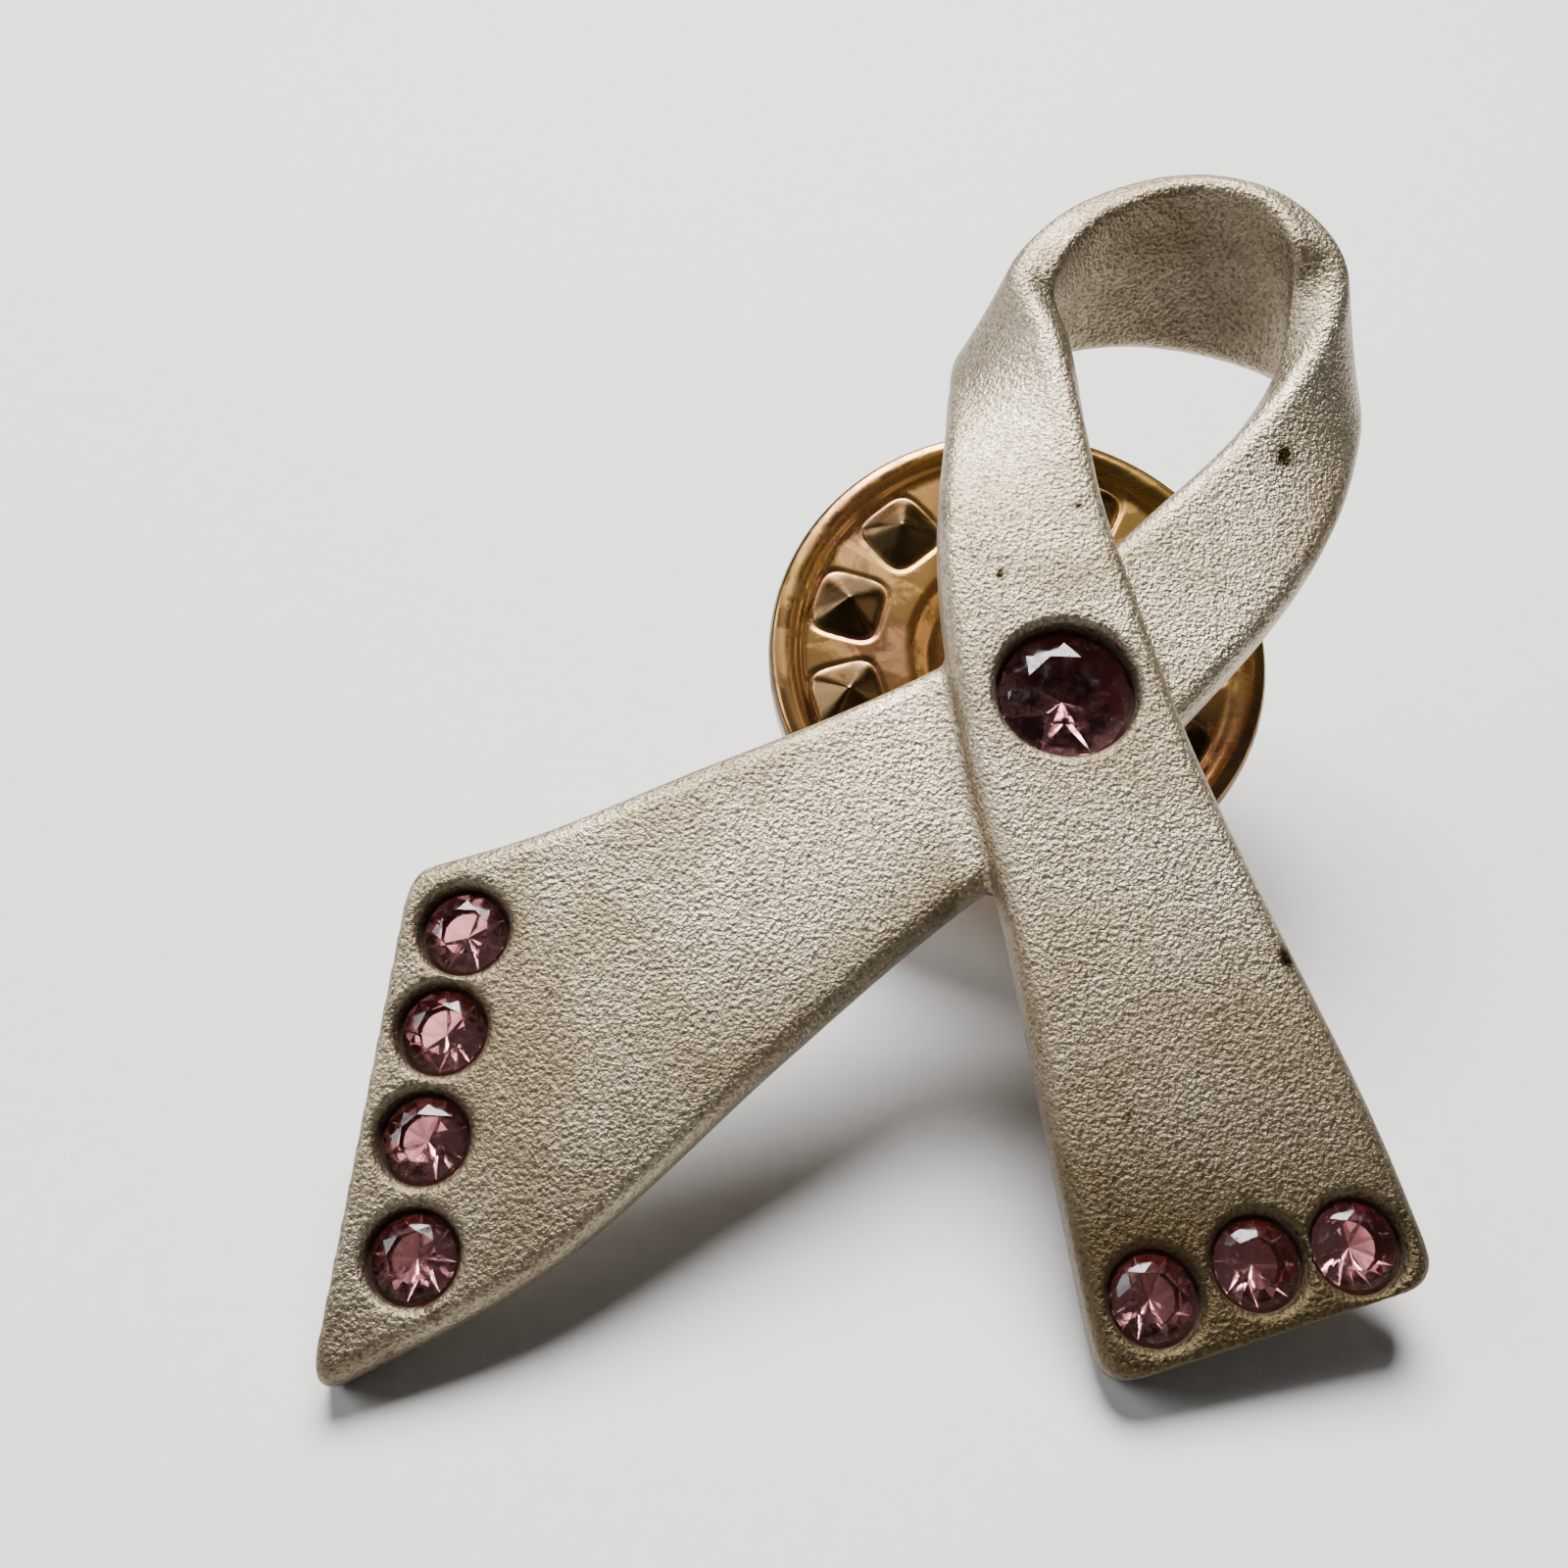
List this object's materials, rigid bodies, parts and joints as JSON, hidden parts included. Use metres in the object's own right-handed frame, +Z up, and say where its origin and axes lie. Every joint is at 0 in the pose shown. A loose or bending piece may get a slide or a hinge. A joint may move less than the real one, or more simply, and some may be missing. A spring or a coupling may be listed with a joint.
{
  "type": "tie tack",
  "caption": "Tie tack: a cast looped-ribbon head set with round rose stones, on a nail post that a butterfly clutch with two sprung wings grips behind the cloth.",
  "frame": {"origin": "on the table, below the middle of the tack's box, with the tack lying on its two tail corners and the two wings of its clutch", "axes": "+Z up from the table; +Y from the tail ends towards the loop; +X to the right as the stones are looked at"},
  "size_m": [0.0214, 0.0228, 0.0139],
  "materials": {
    "cast_white_metal": "cast white metal, sandblasted face, silver-champagne plating, brown tarnish",
    "rose_glass": "faceted rose-pink glass, worn tables",
    "cured_adhesive": "cured jeweller's adhesive, aged brown",
    "plated_steel": "plated steel, satin",
    "solder": "soft solder, dull",
    "brass_turned": "turned brass, aged",
    "brass_pressed": "pressed brass sheet, gold with copper and dark patches",
    "brass_spring": "spring brass sheet, aged"
  },
  "bodies": {
    "head": {"ribbon": "cast_white_metal", "centre_stone": "rose_glass", "left_stone_1": "rose_glass", "left_stone_2": "rose_glass", "left_stone_3": "rose_glass", "left_stone_4": "rose_glass", "right_stone_1": "rose_glass", "right_stone_2": "rose_glass", "right_stone_3": "rose_glass", "centre_glue": "cured_adhesive", "left_glue_1": "cured_adhesive", "left_glue_2": "cured_adhesive", "left_glue_3": "cured_adhesive", "left_glue_4": "cured_adhesive", "right_glue_1": "cured_adhesive", "right_glue_2": "cured_adhesive", "right_glue_3": "cured_adhesive", "tack_post": "plated_steel", "solder_ring": "solder"},
    "clutch_slider": {"clutch_eyelet": "brass_turned"},
    "clutch": {"clutch_disc": "brass_pressed", "jaw_base": "brass_spring"},
    "left_wing": {"wing_left": "brass_spring"},
    "right_wing": {"wing_right": "brass_spring"}
  },
  "joints": [
    {"name": "clutch_slide", "type": "slide", "parent": "head", "child": "clutch_slider", "axis": [0, 0.5075, -0.8616], "range_m": [-0.0008, 0.02]},
    {"name": "clutch_turn", "type": "hinge", "parent": "clutch_slider", "child": "clutch", "pos_m": [0.00295, 0.00474, 0.00479], "axis": [0, 0.5075, -0.8616], "continuous": true},
    {"name": "right_pinch", "type": "hinge", "parent": "clutch", "child": "right_wing", "pos_m": [0.00555, 0.00509, 0.00419], "axis": [0, 0.8616, 0.5075], "range_deg": [0, 8], "stiffness_Nm_per_rad": 0.002},
    {"name": "left_pinch", "type": "hinge", "parent": "clutch", "child": "left_wing", "pos_m": [0.00035, 0.00509, 0.00419], "axis": [0, -0.8616, -0.5075], "range_deg": [0, 8], "stiffness_Nm_per_rad": 0.002}
  ],
  "couplings": [
    {"joint": "left_pinch", "follows": "right_pinch", "ratio": 1}
  ]
}
